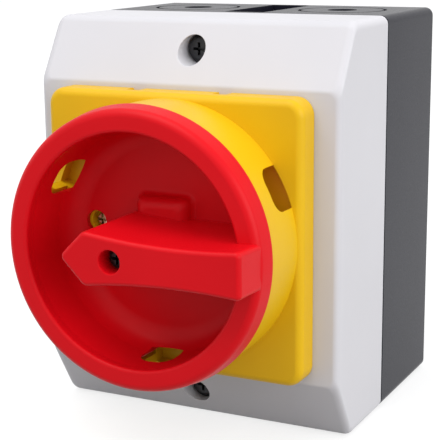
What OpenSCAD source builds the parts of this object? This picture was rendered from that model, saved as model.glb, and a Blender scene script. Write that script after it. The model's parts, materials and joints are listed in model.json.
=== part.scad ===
// Rotary isolator switch in a surface-mounted enclosure.
// The wall face is the plane Y = 0, the front looks along -Y, +Z is up and the knob turns about the Y axis.

/* [Enclosure] */
// Width of the enclosure
case_w = 76; // [72:1:110]
// Height of the enclosure
case_h = 95; // [92:1:130]
// Depth of the base, from the wall to the joint
base_d = 34.5; // [28:0.5:45]
// Depth of the cover, from the joint to its front face
cover_d = 29.5; // [28:0.5:45]
// Thickness of the side walls
wall = 2.5; // [2:0.1:3]
// Thickness of the base floor
back_t = 3; // [2.5:0.1:5]
// Thickness of the front wall of the cover
front_t = 3; // [2.5:0.1:4]
// Rounding of the edges that run back to the wall
corner_r = 2; // [1:0.1:3]
// Rounding of the upright front edges of the cover
front_r = 1.5; // [0.8:0.1:2]
// Height of each sloped chamfer of the cover
chamfer_h = 14.4; // [12:0.1:15]
// Depth of each sloped chamfer of the cover
chamfer_d = 8.7; // [6:0.1:11]
// Rounding where a chamfer meets the top or bottom
chamfer_r = 3; // [1:0.1:4]
// Height of the lip that stands on the base rim
lip_h = 3; // [2:0.1:4]
// Thickness of the lip
lip_t = 1.6; // [1.4:0.1:2]
// Thickness of the cover gasket
gasket_t = 1.5; // [1:0.1:2]

/* [Knock-outs and wall screws] */
// Diameter of a cable knock-out
knock_dia = 22; // [16:0.5:25]
// Distance of a knock-out from the middle
knock_x = 20; // [18:0.5:22]
// Width and depth of a knock-out groove
groove = 0.8; // [0.5:0.1:1.2]
// Width of the channel between the two top knock-outs
channel_w = 10.5; // [6:0.5:14]
// Depth of that channel
channel_sink = 2.5; // [1.5:0.1:3]
// Inset of the wall screw holes from the outside
hole_inset = 8; // [7:0.5:10]
// Diameter of the wall screw holes
hole_dia = 4.5; // [3.5:0.1:5.5]

/* [Cover screws] */
// Inset of the cover screws from the top and bottom
screw_inset = 7; // [6.5:0.1:8]
// Diameter of the screw wells
well_dia = 6.8; // [6.4:0.1:7.6]
// Height of the well floor above the joint
well_floor = 17; // [8:0.5:18.5]
// Diameter of the cover screw thread
cover_thread = 4; // [3:0.1:4.4]
// Length of the brass inserts
insert_len = 9; // [6:0.5:12]

/* [Lock plate] */
// Width and height of the lock plate
plate_w = 64; // [63:1:66]
// Thickness of the lock plate
plate_t = 6.6; // [6:0.1:8]
// Corner radius of the lock plate
plate_r = 4; // [2:0.1:6]
// Rounding of the front edge of the lock plate
plate_edge = 1.8; // [0.8:0.1:2.5]
// Outer radius of the padlock collar
collar_r = 30.9; // [30:0.1:31.5]
// Wall of the padlock collar
collar_t = 2; // [1.6:0.1:2.2]
// Height of the collar above the plate face
collar_h = 13.5; // [12:0.1:18]
// Width of a padlock slot
slot_w = 10; // [9:0.1:11]
// Height of a padlock slot above the plate face, at the middle of its arch
slot_h = 7.8; // [7:0.1:10]
// Rise of the arch at the front of a padlock slot
slot_rise = 3.4; // [1:0.1:4]
// Depth of the recess in the plate face behind a padlock slot
slot_sink = 3.2; // [1:0.1:4]
// Angle of the right padlock slot above the horizontal
slot_turn = 27.5; // [20:0.5:35]
// Distance of a plate screw from the knob axis
plate_screw_x = 18.5; // [18:0.5:20]
// Angle of the line through the plate screws, which rises to the left
plate_screw_turn = 5.5; // [0:0.5:10]

/* [Knob] */
// How far the rim stands out past the collar
rim_over = 0.4; // [0:0.1:0.8]
// Length of the rim along the axis
rim_h = 5.5; // [4:0.1:8]
// Rounding of the outer front edge of the rim
rim_round = 2.6; // [1:0.1:3]
// Radius of the bowl at the rim
bowl_r = 26.6; // [26:0.1:27]
// Thickness of the bowl floor
floor_t = 1.2; // [1:0.1:3]
// Fillet between the bowl wall and its floor
bowl_fillet = 5.5; // [2:0.1:6]
// Width of a padlock window in the bowl wall
window_w = 8.4; // [8:0.1:11]
// Height of a padlock window above the bowl floor, at the middle of its arch
window_h = 10; // [9:0.1:11]
// Rise of the arch at the front of a padlock window
window_rise = 3.2; // [1:0.1:4]
// How far the grip bar stands out past the rim
bar_out = 7.8; // [5:0.1:12]
// Distance of the arrow tip from the axis
tip_x = 12.5; // [11:0.1:16]
// Length of the arrow head
arrow_len = 6; // [4:0.1:7]
// Half width of the arrow head
arrow_half = 6; // [5.6:0.1:7]
// Half width of the bar at its rim end
end_half = 5.1; // [4.5:0.1:6]
// How far the sides of the bar are drawn in
bar_waist = 1.1; // [0:0.1:1.4]
// Width of the hub block on the bowl floor
hub_w = 12; // [11:0.5:15]
// Height of the hub block on the bowl floor
hub_h = 18; // [16:0.5:24]
// How far the hub block stands up from the bowl floor
hub_up = 4; // [2:0.1:5]
// Diameter of the hole for the knob screw head
knob_hole = 5; // [4.8:0.1:6]

/* [Switch body] */
// Thickness of the bearing plate
bearing_t = 4.5; // [4:0.1:6]
// Depth of the detent housing
detent_d = 10; // [10:0.1:12]
// Depth of one contact stage
stage_d = 11; // [10:0.1:12]
// Thickness of the web at the back of each housing
web_t = 1.5; // [1.2:0.1:2]
// Thickness of the end plate
end_t = 3; // [2.5:0.1:4]
// Thickness of the side walls of a stage
side_t = 1.6; // [1.2:0.1:2.2]
// Distance of a tie screw from the axis
tie_z = 19; // [18:0.1:20]
// Diameter of the tie screws
tie_dia = 3.8; // [3:0.1:4]

/* [Shaft and cams] */
// Diameter of the round part of the shaft
shaft_dia = 10; // [10:0.1:10.6]
// Width across the square part of the shaft
square_w = 7; // [6:0.1:7]
// Running clearance of the shaft in its bearings
run_gap = 0.05; // [0.02:0.01:0.09]
// Largest radius of a cam
cam_r = 9.6; // [9:0.1:10]
// Lift of a cam over a quarter turn
cam_lift = 3; // [2.5:0.1:3.2]
// Gap between a cam and its plungers
cam_gap = 0.2; // [0.15:0.01:0.3]
// Thickness of a cam
cam_t = 7; // [5:0.1:7.5]

/* [Contacts] */
// Width of a plunger
plunger_w = 5; // [4:0.1:5.4]
// Length of a plunger, from its nose to the bridge
plunger_len = 7.6; // [7.4:0.1:9]
// Thickness of the bridges and contact strips
strip_t = 1.2; // [0.8:0.1:1.4]
// Width of the bridges and contact strips
strip_w = 6.5; // [5:0.1:7]
// Distance of the contact tips from the middle of a bridge
tip_z = 8; // [7.6:0.1:8.4]
// Diameter of the contact tips
tip_dia = 3.2; // [2.4:0.1:3.6]
// Height of a contact tip
tip_t = 0.8; // [0.6:0.1:0.9]
// Length of a contact spring in its seat
spring_room = 3.8; // [3.6:0.1:5]
// Diameter of the spring wire
spring_wire = 0.6; // [0.4:0.05:0.6]
// Distance of the terminal screws from the middle
terminal_z = 17.8; // [17.6:0.1:18]
// Diameter of the terminal screw thread
terminal_dia = 3.5; // [3:0.1:3.8]

/* [Hidden] */
$fn = 64;
fit = 0.05;
loose = 0.3;
case_d = base_d + cover_d;
inside_w = case_w - 2 * wall;
inside_h = case_h - 2 * wall;
lip_gap = 0.15;
lip_w = inside_w - 2 * lip_gap;
lip_height = inside_h - 2 * lip_gap;
ledge_t = 2;
ledge_w = 3;
seal_top = base_d + lip_h + gasket_t;
hole_x = case_w / 2 - hole_inset;
hole_z = case_h / 2 - hole_inset;
screw_z = case_h / 2 - screw_inset;
boss_r = well_dia / 2 + 1.8;
well_d = base_d + well_floor;
washer_t = 1;
channel_end = 2.5;
cover_head_t = 2.6;

plate_face = case_d + plate_t;
collar_in = collar_r - collar_t;
collar_top = plate_face + collar_h;
padlock_turns = [slot_turn, 180 - slot_turn, 270];
slot_sink_in = collar_in - 5.4;
plate_ring_in = collar_in - 5;
plate_ring_out = collar_in - 2;
plate_ring_t = 1.2;
plate_head_r = 1.9;
plate_head_t = 1.6;
plate_head_sink = 2.2;
plate_thread = 2.5;
insert_r = plate_thread / 2 + 1.3;

knob_gap = 0.3;
cup_r = collar_in - 1.5;
knob_back = plate_face + knob_gap;
knob_floor = knob_back + floor_t;
rim_back = collar_top + knob_gap;
rim_r = collar_r + rim_over;
rim_front = rim_back + rim_h;
bar_front = rim_front + bar_out;
bar_end = rim_r - 1.6;
rim_lip = 0.8;
foot_r = bowl_r - 0.6;
window_in = foot_r - 1.2;
peep_dia = 4.7;
socket_end = knob_floor + 8;
knob_thread = 3;
knob_head_t = 2.4;
knob_head_sink = 3.5;
screw_seat = bar_front - knob_head_sink - knob_head_t;
knob_screw_grip = 8;

body_front = case_d - front_t;
detent_back = body_front - bearing_t - detent_d;
stage_1_back = detent_back - stage_d;
stage_2_back = stage_1_back - stage_d;
end_back = stage_2_back - end_t;
tie_sink = 2.2;
nut_t = 2.8;
cross_w = 1.7;

shaft_r = shaft_dia / 2;
web_hole_r = square_w * sqrt(2) / 2 + 1;
tail_r = 3;
tail_out = 4.5;
clip_t = 1;
wheel_r = 10.5;
wheel_t = 4.2;
notch_r = 2.2;
notch_out = 0.4;
leaf_t = 0.8;
leaf_half = 13;
leaf_z = wheel_r + 1.1;
stop_t = 2;
stop_hub = 8;
stop_arm = 13.5;
stop_angle = 135;
stop_half = 9;
turn_angle = 90;

pocket_d = stage_d - web_t;
middle = web_t + pocket_d / 2;
bridge_x = cam_r + cam_gap + plunger_len;
bridge_out = bridge_x + strip_t;
body_half = bridge_out + spring_room + side_t;
touch_gap = 0.05;
strip_out = bridge_x - cam_lift - touch_gap - 2 * tip_t;
strip_x = strip_out - strip_t;
bridge_half = tip_z + tip_dia / 2 + 0.9;
cavity_half = bridge_half + 1.2;
pocket_z = cavity_half + 2;
strip_end = body_half - 2.5;
strip_start = plunger_w / 2 + 3.4;
guide_x = bridge_x - cam_lift - 0.4;
spigot_r = 1.2;
spigot_out = 1.4;
clamp_t = 1.2;
clamp_half = 3;
terminal_head_r = 3;
terminal_head_t = 2.2;
cam_cavity = cam_r + 1;

earth_x = -hole_x + 12;
earth_z = -hole_z + 14;
earth_side = 9;
earth_h = 10;

// Colours
pale = [0.86, 0.86, 0.88];
charcoal = [0.16, 0.16, 0.19];
yellow = [0.95, 0.76, 0.05];
red = [0.80, 0.07, 0.10];
nylon = [0.30, 0.31, 0.33];
cream = [0.82, 0.80, 0.72];
steel = [0.66, 0.67, 0.69];
brass = [0.76, 0.62, 0.30];
copper = [0.74, 0.44, 0.26];
silver = [0.84, 0.84, 0.82];
black_steel = [0.12, 0.12, 0.13];
rubber = [0.10, 0.10, 0.11];

// Turns a shape drawn with its height along the depth so that the front looks along -Y
module upright() {
    rotate([90, 0, 0]) children();
}

// Lifts a shape along the depth
module at_depth(d) {
    translate([0, 0, d]) children();
}

// Puts a shape, drawn along +X, on the right and on the left
module both_sides() {
    children();
    mirror([1, 0, 0]) children();
}

// Puts a shape at each of the two plate screws
module at_plate_screws() {
    rotate([0, 0, -plate_screw_turn]) both_sides() translate([plate_screw_x, 0, 0]) children();
}

// Puts a shape, drawn towards the top, at the top and at the bottom
module top_and_bottom() {
    children();
    mirror([0, 1, 0]) children();
}

// Rectangle with round corners, about the origin
module rounded_rect(w, h, r) {
    square([w - 2 * r, h], center = true);
    square([w, h - 2 * r], center = true);
    for (x = [-1, 1], y = [-1, 1]) {
        translate([x * (w / 2 - r), y * (h / 2 - r)]) circle(r);
    }
}

// Frame between two rectangles with round corners
module rect_ring(w, h, t, r) {
    difference() {
        rounded_rect(w, h, r);
        rounded_rect(w - 2 * t, h - 2 * t, max(r - t, 0.4));
    }
}

// Slice of a disc between two angles
module sector(from, to, r) {
    steps = 6;
    rim = [for (i = [0:steps]) let (a = from + (to - from) * i / steps) r * [cos(a), sin(a)]];
    polygon(concat([[0, 0]], rim));
}

// Tube
module tube(outer_r, inner_r, len) {
    difference() {
        cylinder(r = outer_r, h = len);
        translate([0, 0, -1]) cylinder(r = inner_r, h = len + 2);
    }
}

// Points of the arc that rounds corner b between a and c
function unit(v) = v / norm(v);
function corner_arc(a, b, c, r, steps = 6) =
    let (u = unit(a - b), v = unit(c - b), half = acos(u * v) / 2)
    let (centre = b + unit(u + v) * r / sin(half), p = b + u * r / tan(half) - centre)
    let (side = u.x * v.y - u.y * v.x > 0 ? -1 : 1, sweep = side * (180 - 2 * half))
    [for (i = [0:steps]) let (t = sweep * i / steps)
        centre + [p.x * cos(t) - p.y * sin(t), p.x * sin(t) + p.y * cos(t)]];

// Screw with a cross recess: the head stands on z = 0 and the thread hangs below it
module cross_screw(head_r, head_t, thread_r, len, cross) {
    difference() {
        union() {
            cylinder(r = head_r, h = head_t);
            translate([0, 0, -len]) cylinder(r = thread_r, h = len + head_t / 2);
        }
        translate([0, 0, head_t]) cube([2 * cross, cross / 2.4, head_t * 1.2], center = true);
        translate([0, 0, head_t]) cube([cross / 2.4, 2 * cross, head_t * 1.2], center = true);
    }
}

// Helix along +X from x = 0 to x = len
module coil_spring(coil_r, wire_r, len, turns) {
    sides = 6;
    rings = turns * 10;
    run = len - 2 * wire_r;
    points = [for (i = [0:rings], j = [0:sides - 1])
        let (a = 360 * turns * i / rings, b = 360 * j / sides, r = coil_r + wire_r * cos(b))
        [wire_r + run * i / rings + wire_r * sin(b), r * cos(a), r * sin(a)]];
    skin = [for (i = [0:rings - 1], j = [0:sides - 1]) let (k = (j + 1) % sides)
        each [[i * sides + j, i * sides + k, (i + 1) * sides + j],
            [i * sides + k, (i + 1) * sides + k, (i + 1) * sides + j]]];
    first_end = [for (j = [1:sides - 2]) [0, j + 1, j]];
    last = rings * sides;
    last_end = [for (j = [1:sides - 2]) [last, last + j, last + j + 1]];
    polyhedron(points, concat(skin, first_end, last_end), convexity = 8);
}

// Groove, with a round dimple, of one cable knock-out in the top wall
module knock_out() {
    translate([knock_x, case_h / 2, base_d / 2]) rotate([-90, 0, 0]) {
        at_depth(-groove) tube(knock_dia / 2, knock_dia / 2 - groove, 2 * groove);
        at_depth(-groove) cylinder(d = knock_dia / 3, h = 2 * groove);
    }
}

module base() {
    color(charcoal) upright() difference() {
        union() {
            linear_extrude(back_t) rounded_rect(case_w, case_h, corner_r);
            linear_extrude(base_d) rect_ring(case_w, case_h, wall + lip_gap + lip_t, corner_r);
            linear_extrude(base_d + lip_h) rect_ring(lip_w, lip_height, lip_t, corner_r);
            top_and_bottom() translate([0, screw_z, 0]) cylinder(r = boss_r, h = base_d);
            for (x = [-hole_x, hole_x], z = [-hole_z, hole_z]) {
                translate([x, z, 0]) cylinder(d = hole_dia + 5, h = back_t + 3);
            }
        }
        for (x = [-hole_x, hole_x], z = [-hole_z, hole_z]) {
            translate([x, z, -1]) cylinder(d = hole_dia, h = back_t + 5);
        }
        top_and_bottom() translate([0, screw_z, base_d - insert_len]) {
            cylinder(d = cover_thread + 2, h = insert_len + 1);
            at_depth(-4) cylinder(d = cover_thread + 0.6, h = 5);
        }
        top_and_bottom() both_sides() knock_out();
        translate([-channel_w / 2, case_h / 2 - channel_sink, channel_end]) {
            cube([channel_w, 2 * channel_sink, base_d - 2 * channel_end]);
        }
    }
}

module base_inserts() {
    color(brass) upright() top_and_bottom() translate([0, screw_z, base_d - insert_len]) {
        tube(cover_thread / 2 + 1 - fit, cover_thread / 2, insert_len);
    }
}

module earth_block() {
    color(brass) upright() translate([earth_x, earth_z, back_t]) difference() {
        translate([-earth_side / 2, -earth_side / 2, 0]) cube([earth_side, earth_side, earth_h]);
        at_depth(3) cylinder(d = terminal_dia, h = earth_h);
        at_depth(earth_h / 2) rotate([0, 90, 0]) cylinder(d = 4, h = 2 * earth_side, center = true);
    }
}

module earth_screw() {
    color(steel) upright() translate([earth_x, earth_z, back_t + earth_h]) {
        cross_screw(terminal_head_r, terminal_head_t, terminal_dia / 2 - fit, 2.5, cross_w);
    }
}

module cover_gasket() {
    color(rubber) upright() at_depth(base_d + lip_h) {
        linear_extrude(gasket_t) rect_ring(lip_w, lip_height, lip_t, corner_r);
    }
}

// Side outline of the cover, as depth along x and height along y
module cover_side() {
    half = case_h / 2;
    ridge = half - chamfer_h;
    back = [base_d, half];
    brow = [case_d - chamfer_d, half];
    upper = [case_d, ridge];
    lower = [case_d, -ridge];
    upper_arc = concat(corner_arc(back, brow, upper, chamfer_r), corner_arc(brow, upper, lower, front_r));
    lower_arc = [for (i = [len(upper_arc) - 1:-1:0]) [upper_arc[i].x, -upper_arc[i].y]];
    polygon(concat([back], upper_arc, lower_arc, [[base_d, -half]]));
}

// Side outline of the space inside the cover
module cover_side_inside() {
    half = case_h / 2 - wall;
    front = case_d - front_t;
    reach = chamfer_h * (case_d - chamfer_d) + chamfer_d * case_h / 2 - wall * norm([chamfer_h, chamfer_d]);
    brow = (reach - chamfer_d * half) / chamfer_h;
    ridge = (reach - chamfer_h * front) / chamfer_d;
    top = [[base_d - 1, half], [brow, half], [front, ridge]];
    polygon(concat(top, [for (i = [2:-1:0]) [top[i].x, -top[i].y]]));
}

// Extrudes a side outline across the given width
module across(w) {
    rotate([0, -90, 0]) linear_extrude(w, center = true) children();
}

module cover_block() {
    intersection() {
        across(case_w) cover_side();
        linear_extrude(case_d) rounded_rect(case_w, case_h, corner_r);
        rotate([-90, 0, 0]) linear_extrude(case_h, center = true) mirror([0, 1]) {
            translate([-case_w / 2, base_d]) square([case_w, cover_d - front_r]);
            translate([-case_w / 2 + front_r, base_d]) square([case_w - 2 * front_r, cover_d]);
            for (x = [-1, 1]) {
                translate([x * (case_w / 2 - front_r), case_d - front_r]) circle(front_r);
            }
        }
    }
}

module cover() {
    color(pale) upright() difference() {
        intersection() {
            union() {
                difference() {
                    cover_block();
                    intersection() {
                        across(inside_w) cover_side_inside();
                        linear_extrude(case_d) rounded_rect(inside_w, inside_h, corner_r);
                    }
                }
                at_depth(seal_top) linear_extrude(ledge_t) {
                    rect_ring(inside_w + 1, inside_h + 1, ledge_w, corner_r);
                }
                top_and_bottom() translate([0, screw_z, base_d]) cylinder(r = boss_r, h = cover_d);
            }
            cover_block();
        }
        at_depth(base_d - 1) linear_extrude(seal_top - base_d + 1) {
            rect_ring(inside_w, inside_h, lip_gap + lip_t + loose, corner_r);
        }
        top_and_bottom() translate([0, screw_z, 0]) {
            at_depth(well_d) cylinder(d = well_dia, h = case_d);
            cylinder(d = cover_thread + 0.6, h = case_d);
        }
        cylinder(r = shaft_r + 2.5, h = case_d + 1);
        at_plate_screws() cylinder(d = plate_thread + 0.6, h = case_d + 1);
    }
}

module screw_seals() {
    color(rubber) upright() top_and_bottom() translate([0, screw_z, well_d]) {
        tube(well_dia / 2 - fit, cover_thread / 2 + fit, washer_t);
    }
}

module cover_screws() {
    reach = well_floor + washer_t + insert_len;
    color(black_steel) upright() top_and_bottom() translate([0, screw_z, well_d + washer_t]) {
        cross_screw(well_dia / 2 - loose, cover_head_t, cover_thread / 2 - fit, reach, cross_w);
    }
}

module plate_gasket() {
    color(rubber) upright() at_depth(case_d) tube(plate_ring_out - fit, plate_ring_in + fit, plate_ring_t);
}

// One side outline of the lock plate: its width along x and its thickness along y, with round front edges
module plate_edge_outline() {
    square_half = plate_w / 2;
    translate([-square_half, 0]) square([plate_w, plate_t - plate_edge]);
    translate([plate_edge - square_half, 0]) square([plate_w - 2 * plate_edge, plate_t]);
    for (x = [-1, 1]) {
        translate([x * (square_half - plate_edge), plate_t - plate_edge]) circle(plate_edge);
    }
}

// Opening with an arched front, cut outwards through a collar or a bowl wall
module radial_cut(w, h, rise) {
    left = [-w / 2, h];
    right = [w / 2, h];
    arch = concat(corner_arc([w / 2, 0], right, left, rise), corner_arc(right, left, [-w / 2, 0], rise));
    rotate([90, 0, 90]) linear_extrude(rim_r + 5) polygon(concat([[-w / 2, 0], [w / 2, 0]], arch));
}

// Padlock slot: an arch through the collar that also sinks into the plate face inside it
module padlock_slot() {
    intersection() {
        translate([slot_sink_in, 0, 0]) radial_cut(slot_w, slot_h + slot_sink, slot_rise);
        cylinder(r = collar_r + fit, h = plate_t + collar_h);
    }
}

module lock_plate() {
    notch_x = plate_w * 0.17;
    color(yellow) upright() at_depth(case_d) difference() {
        union() {
            intersection() {
                linear_extrude(plate_t) rounded_rect(plate_w, plate_w, plate_r);
                rotate([90, 0, 0]) linear_extrude(plate_w, center = true) plate_edge_outline();
                rotate([90, 0, 90]) linear_extrude(plate_w, center = true) plate_edge_outline();
            }
            difference() {
                cylinder(r = collar_r, h = plate_t + collar_h);
                at_depth(plate_t) cylinder(r = collar_in, h = collar_h + 1);
            }
        }
        at_depth(-1) cylinder(r = shaft_r + loose, h = plate_t + 2);
        at_depth(-1) tube(plate_ring_out, plate_ring_in, plate_ring_t + 1);
        for (turn = padlock_turns) {
            rotate([0, 0, turn]) at_depth(plate_t - slot_sink) padlock_slot();
        }
        at_plate_screws() {
            at_depth(-1) cylinder(d = plate_thread + 0.6, h = plate_t + 2);
            at_depth(plate_t - plate_head_sink) cylinder(r = plate_head_r + loose, h = plate_head_sink + 1);
        }
        both_sides() translate([notch_x, plate_w / 2, 0]) cube([3.4, 2.4, 2 * plate_t - 6], center = true);
    }
}

module plate_screws() {
    shank = plate_face - plate_head_sink - body_front + bearing_t;
    color(steel) upright() at_depth(plate_face - plate_head_sink) at_plate_screws() {
        cross_screw(plate_head_r, plate_head_t, plate_thread / 2 - fit, shank, cross_w * 0.7);
    }
}

module plate_inserts() {
    color(brass) upright() at_depth(body_front - bearing_t) at_plate_screws() {
        tube(insert_r - fit, plate_thread / 2, bearing_t);
    }
}

module shaft_seal() {
    color(rubber) upright() at_depth(body_front) tube(shaft_r + 2.5 - fit, shaft_r + run_gap, front_t);
}

// Square block of the switch body
module body_block(len) {
    linear_extrude(len) rounded_rect(2 * body_half, 2 * body_half, 1.5);
}

// Clearance holes of the two tie screws
module tie_holes(len) {
    top_and_bottom() translate([0, tie_z, -1]) cylinder(d = tie_dia + 0.4, h = len + 2);
}

module bearing_plate() {
    color(nylon) upright() at_depth(body_front - bearing_t) difference() {
        body_block(bearing_t);
        at_depth(-1) cylinder(r = shaft_r + run_gap, h = bearing_t + 2);
        tie_holes(bearing_t);
        top_and_bottom() translate([0, tie_z, bearing_t - tie_sink]) {
            cylinder(d = tie_dia + 3.6, h = tie_sink + 1);
        }
        at_depth(-1) at_plate_screws() cylinder(r = insert_r, h = bearing_t + 2);
    }
}

module detent_housing() {
    floor_2 = web_t + wheel_t + 0.8;
    seat_t = leaf_t + 0.2;
    swing_r = stop_arm + 2 * loose;
    swing = stop_half + 1;
    color(nylon) upright() at_depth(detent_back) difference() {
        body_block(detent_d);
        at_depth(-1) cylinder(r = web_hole_r, h = detent_d);
        at_depth(web_t) cylinder(r = wheel_r + 0.8, h = floor_2 - web_t + fit);
        top_and_bottom() at_depth(web_t) linear_extrude(floor_2 - web_t + fit) {
            translate([-leaf_half + 2, 0]) square([2 * leaf_half - 4, leaf_z + leaf_t + 2]);
            translate([-leaf_half - 0.2, leaf_z - 0.1]) square([2 * leaf_half + 0.4, seat_t]);
        }
        at_depth(floor_2) cylinder(r = stop_hub + 0.6, h = detent_d);
        at_depth(floor_2) linear_extrude(detent_d) intersection() {
            circle(swing_r);
            sector(stop_angle - turn_angle - swing, stop_angle + swing, 2 * swing_r);
        }
        tie_holes(detent_d);
    }
}

module detent_springs() {
    side_gap = 0.2;
    leaf_back = detent_back + web_t + loose + side_gap;
    color(steel) upright() top_and_bottom() at_depth(leaf_back) linear_extrude(wheel_t - 2 * side_gap) {
        translate([-leaf_half, leaf_z]) square([2 * leaf_half, leaf_t]);
        translate([0, wheel_r + notch_out]) circle(notch_r - loose);
    }
}

// Outline of one stage around its cam, plungers, bridges and terminals
module stage_outline() {
    spring_seat = bridge_out + spring_room;
    difference() {
        rounded_rect(2 * body_half, 2 * body_half, 1.5);
        circle(cam_cavity);
        square([2 * guide_x, plunger_w + 0.4], center = true);
        both_sides() {
            top_and_bottom() {
                translate([strip_x, strip_start]) square([spring_seat - strip_x, cavity_half - strip_start]);
                translate([strip_x, pocket_z]) square([body_half, strip_end + fit - pocket_z]);
                translate([strip_x, strip_start]) square([strip_t + fit, pocket_z - strip_start + 1]);
            }
            translate([guide_x, -cavity_half]) square([spring_seat - guide_x, 2 * cavity_half]);
        }
    }
}

// Moulded housing of one contact stage
module stage() {
    difference() {
        union() {
            body_block(web_t);
            linear_extrude(stage_d) stage_outline();
        }
        at_depth(-1) cylinder(r = web_hole_r, h = stage_d);
        tie_holes(stage_d);
        both_sides() top_and_bottom() translate([strip_x - 3.4, terminal_z, middle]) rotate([0, 90, 0]) {
            cylinder(d = terminal_dia + 0.6, h = 4);
        }
    }
}

module stage_1() {
    color(cream) upright() at_depth(stage_1_back) stage();
}

module stage_2() {
    color(cream) upright() at_depth(stage_2_back) stage();
}

module end_plate() {
    color(nylon) upright() at_depth(end_back) difference() {
        body_block(end_t);
        at_depth(-1) cylinder(r = tail_r + run_gap, h = end_t + 2);
        tie_holes(end_t);
    }
}

module tie_screws() {
    head_seat = body_front - tie_sink;
    reach = head_seat - end_back + nut_t + 0.7;
    color(steel) upright() top_and_bottom() translate([0, tie_z, head_seat]) {
        cross_screw(tie_dia / 2 + 1.6, tie_sink - 0.2, tie_dia / 2, reach, cross_w);
    }
}

module tie_nuts() {
    color(steel) upright() top_and_bottom() translate([0, tie_z, end_back - nut_t]) difference() {
        cylinder(d = 2 * tie_dia, h = nut_t, $fn = 6);
        at_depth(-1) cylinder(d = tie_dia + 2 * fit, h = nut_t + 2);
    }
}

// One fixed contact strip at the upper right of a stage
module contact_strip() {
    difference() {
        translate([strip_x, strip_start, middle - strip_w / 2]) {
            cube([strip_t, strip_end - strip_start, strip_w]);
        }
        terminal_hole();
    }
}

// Hole for one terminal screw
module terminal_hole() {
    translate([strip_x - 1, terminal_z, middle]) rotate([0, 90, 0]) {
        cylinder(d = terminal_dia + 2 * fit, h = 8);
    }
}

module line_contacts(back) {
    color(copper) upright() at_depth(back) both_sides() contact_strip();
}

module load_contacts(back) {
    color(copper) upright() at_depth(back) both_sides() mirror([0, 1, 0]) contact_strip();
}

module fixed_tips(back) {
    color(silver) upright() at_depth(back) both_sides() top_and_bottom() {
        translate([strip_out, tip_z, middle]) rotate([0, 90, 0]) cylinder(d = tip_dia, h = tip_t);
    }
}

module terminal_clamps(back) {
    color(steel) upright() at_depth(back) both_sides() top_and_bottom() difference() {
        translate([strip_out, terminal_z - clamp_half, middle - clamp_half]) {
            cube([clamp_t, 2 * clamp_half, 2 * clamp_half]);
        }
        terminal_hole();
    }
}

module terminal_screws(back) {
    color(steel) upright() at_depth(back) both_sides() top_and_bottom() {
        translate([strip_out + clamp_t, terminal_z, middle]) rotate([0, 90, 0]) {
            cross_screw(terminal_head_r, terminal_head_t, terminal_dia / 2, strip_t + clamp_t + 3, cross_w);
        }
    }
}

// Places a piece of a pole: poles 1 and 2 are right and left of stage 1, poles 3 and 4 of stage 2
module pole(number) {
    back = number < 3 ? stage_1_back : stage_2_back;
    upright() at_depth(back) mirror([number % 2 == 0 ? 1 : 0, 0, 0]) children();
}

module pole_spring(number) {
    color(steel) pole(number) translate([bridge_out + fit, 0, middle]) {
        coil_spring(spigot_r + 1, spring_wire / 2, spring_room - 2 * fit, 3.5);
    }
}

module pole_plunger(number) {
    nose = bridge_x - plunger_len + plunger_w / 2;
    thick = pocket_d - 0.5;
    color(nylon) pole(number) {
        at_depth(middle - thick / 2) linear_extrude(thick) {
            translate([nose, 0]) circle(d = plunger_w);
            translate([nose, -plunger_w / 2]) square([bridge_x - nose, plunger_w]);
        }
        translate([bridge_x - 1, 0, middle]) rotate([0, 90, 0]) {
            cylinder(r = spigot_r, h = 1 + strip_t + spigot_out);
        }
    }
}

module pole_bridge(number) {
    color(copper) pole(number) difference() {
        translate([bridge_x, -bridge_half, middle - strip_w / 2]) cube([strip_t, 2 * bridge_half, strip_w]);
        translate([bridge_x - 1, 0, middle]) rotate([0, 90, 0]) cylinder(r = spigot_r + fit, h = strip_t + 2);
    }
}

module pole_tips(number) {
    color(silver) pole(number) top_and_bottom() {
        translate([bridge_x - tip_t, tip_z, middle]) rotate([0, 90, 0]) cylinder(d = tip_dia, h = tip_t);
    }
}

// Prism with a square section about the axis
module square_bar(w, from, to) {
    translate([-w / 2, -w / 2, from]) cube([w, w, to - from]);
}

module shaft() {
    round_back = body_front - bearing_t;
    color(steel) upright() difference() {
        union() {
            square_bar(square_w, stage_2_back, socket_end);
            at_depth(round_back) cylinder(r = shaft_r, h = plate_face - round_back);
            at_depth(end_back - tail_out) cylinder(r = tail_r, h = end_t + tail_out + 1);
        }
        at_depth(end_back - clip_t - 0.4) tube(tail_r + 1, tail_r - 0.6, clip_t + 0.2);
        at_depth(socket_end - knob_screw_grip - 1) cylinder(d = knob_thread, h = knob_screw_grip + 2);
    }
}

module shaft_clip() {
    color(steel) upright() at_depth(end_back - clip_t - 0.3) difference() {
        tube(tail_r + 2.2, tail_r - 0.6 + fit, clip_t);
        translate([0, -1.6, -1]) cube([2 * tail_r, 3.2, clip_t + 2]);
    }
}

// Square hole that slides on the shaft
module shaft_hole() {
    at_depth(-1) linear_extrude(stage_d + 2) square(square_w + 2 * fit, center = true);
}

module detent_wheel() {
    color(nylon) upright() at_depth(detent_back + web_t + 0.3) difference() {
        cylinder(r = wheel_r, h = wheel_t);
        for (turn = [0:turn_angle:270]) {
            rotate([0, 0, turn]) translate([wheel_r + notch_out, 0, -1]) {
                cylinder(r = notch_r, h = wheel_t + 2);
            }
        }
        shaft_hole();
    }
}

module stop_washer() {
    color(steel) upright() at_depth(body_front - bearing_t - stop_t - 0.3) difference() {
        linear_extrude(stop_t) {
            circle(stop_hub);
            intersection() {
                circle(stop_arm);
                sector(stop_angle - stop_half, stop_angle + stop_half, 2 * stop_arm);
            }
        }
        shaft_hole();
    }
}

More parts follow.
